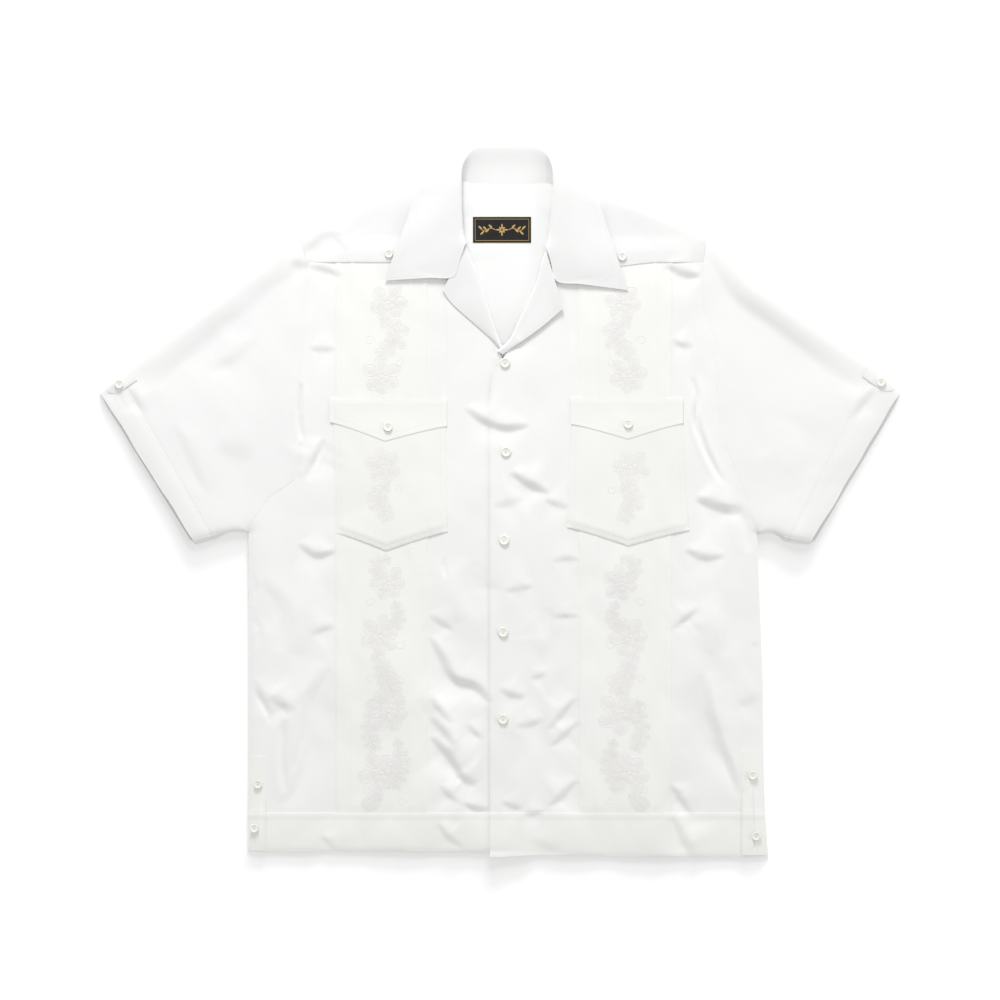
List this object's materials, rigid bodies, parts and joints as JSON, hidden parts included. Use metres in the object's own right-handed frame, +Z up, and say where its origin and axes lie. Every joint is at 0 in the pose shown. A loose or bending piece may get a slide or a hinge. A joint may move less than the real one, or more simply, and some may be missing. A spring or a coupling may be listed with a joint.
{
  "type": "camp shirt",
  "caption": "Short-sleeved camp shirt with open collar, tucked and embroidered front strips, flap pockets and buttoned side vents, laid flat.",
  "frame": {"origin": "middle of the laid shirt's outline, on the surface that it lies on", "axes": "+Y from hem to collar, +X to the viewer's right when the front is seen from above, +Z up out of the front"},
  "size_m": [0.8798, 0.7837, 0.0115],
  "materials": {
    "shirt_cloth": "soft sheen",
    "embroidered_strip": "soft sheen",
    "label_weave": "matte",
    "button_pearl": "pearly gloss"
  },
  "bodies": {
    "root": {"back_body": "shirt_cloth", "back_hem_band": "shirt_cloth", "back_yoke": "shirt_cloth", "button_flap_left": "button_pearl", "button_flap_right": "button_pearl", "button_front_1": "button_pearl", "button_front_2": "button_pearl", "button_front_3": "button_pearl", "button_front_4": "button_pearl", "button_front_5": "button_pearl", "button_sleeve_left": "button_pearl", "button_sleeve_right": "button_pearl", "button_vent_left_lower": "button_pearl", "button_vent_left_upper": "button_pearl", "button_vent_right_lower": "button_pearl", "button_vent_right_upper": "button_pearl", "button_yoke_left": "button_pearl", "button_yoke_right": "button_pearl", "collar": "shirt_cloth", "front_hem_band_left": "shirt_cloth", "front_hem_band_right": "shirt_cloth", "front_left": "shirt_cloth", "front_right": "shirt_cloth", "lapel_left": "shirt_cloth", "lapel_right": "shirt_cloth", "neck_label": "label_weave", "pocket_flap_left": "shirt_cloth", "pocket_flap_right": "shirt_cloth", "pocket_left": "shirt_cloth", "pocket_right": "shirt_cloth", "sleeve_band_left": "shirt_cloth", "sleeve_band_right": "shirt_cloth", "sleeve_left": "shirt_cloth", "sleeve_right": "shirt_cloth", "sleeve_tab_left": "shirt_cloth", "sleeve_tab_right": "shirt_cloth", "tuck_strip_left": "embroidered_strip", "tuck_strip_right": "embroidered_strip", "vent_placket_left": "shirt_cloth", "vent_placket_right": "shirt_cloth", "yoke_front_left": "shirt_cloth", "yoke_front_right": "shirt_cloth"}
  },
  "joints": []
}
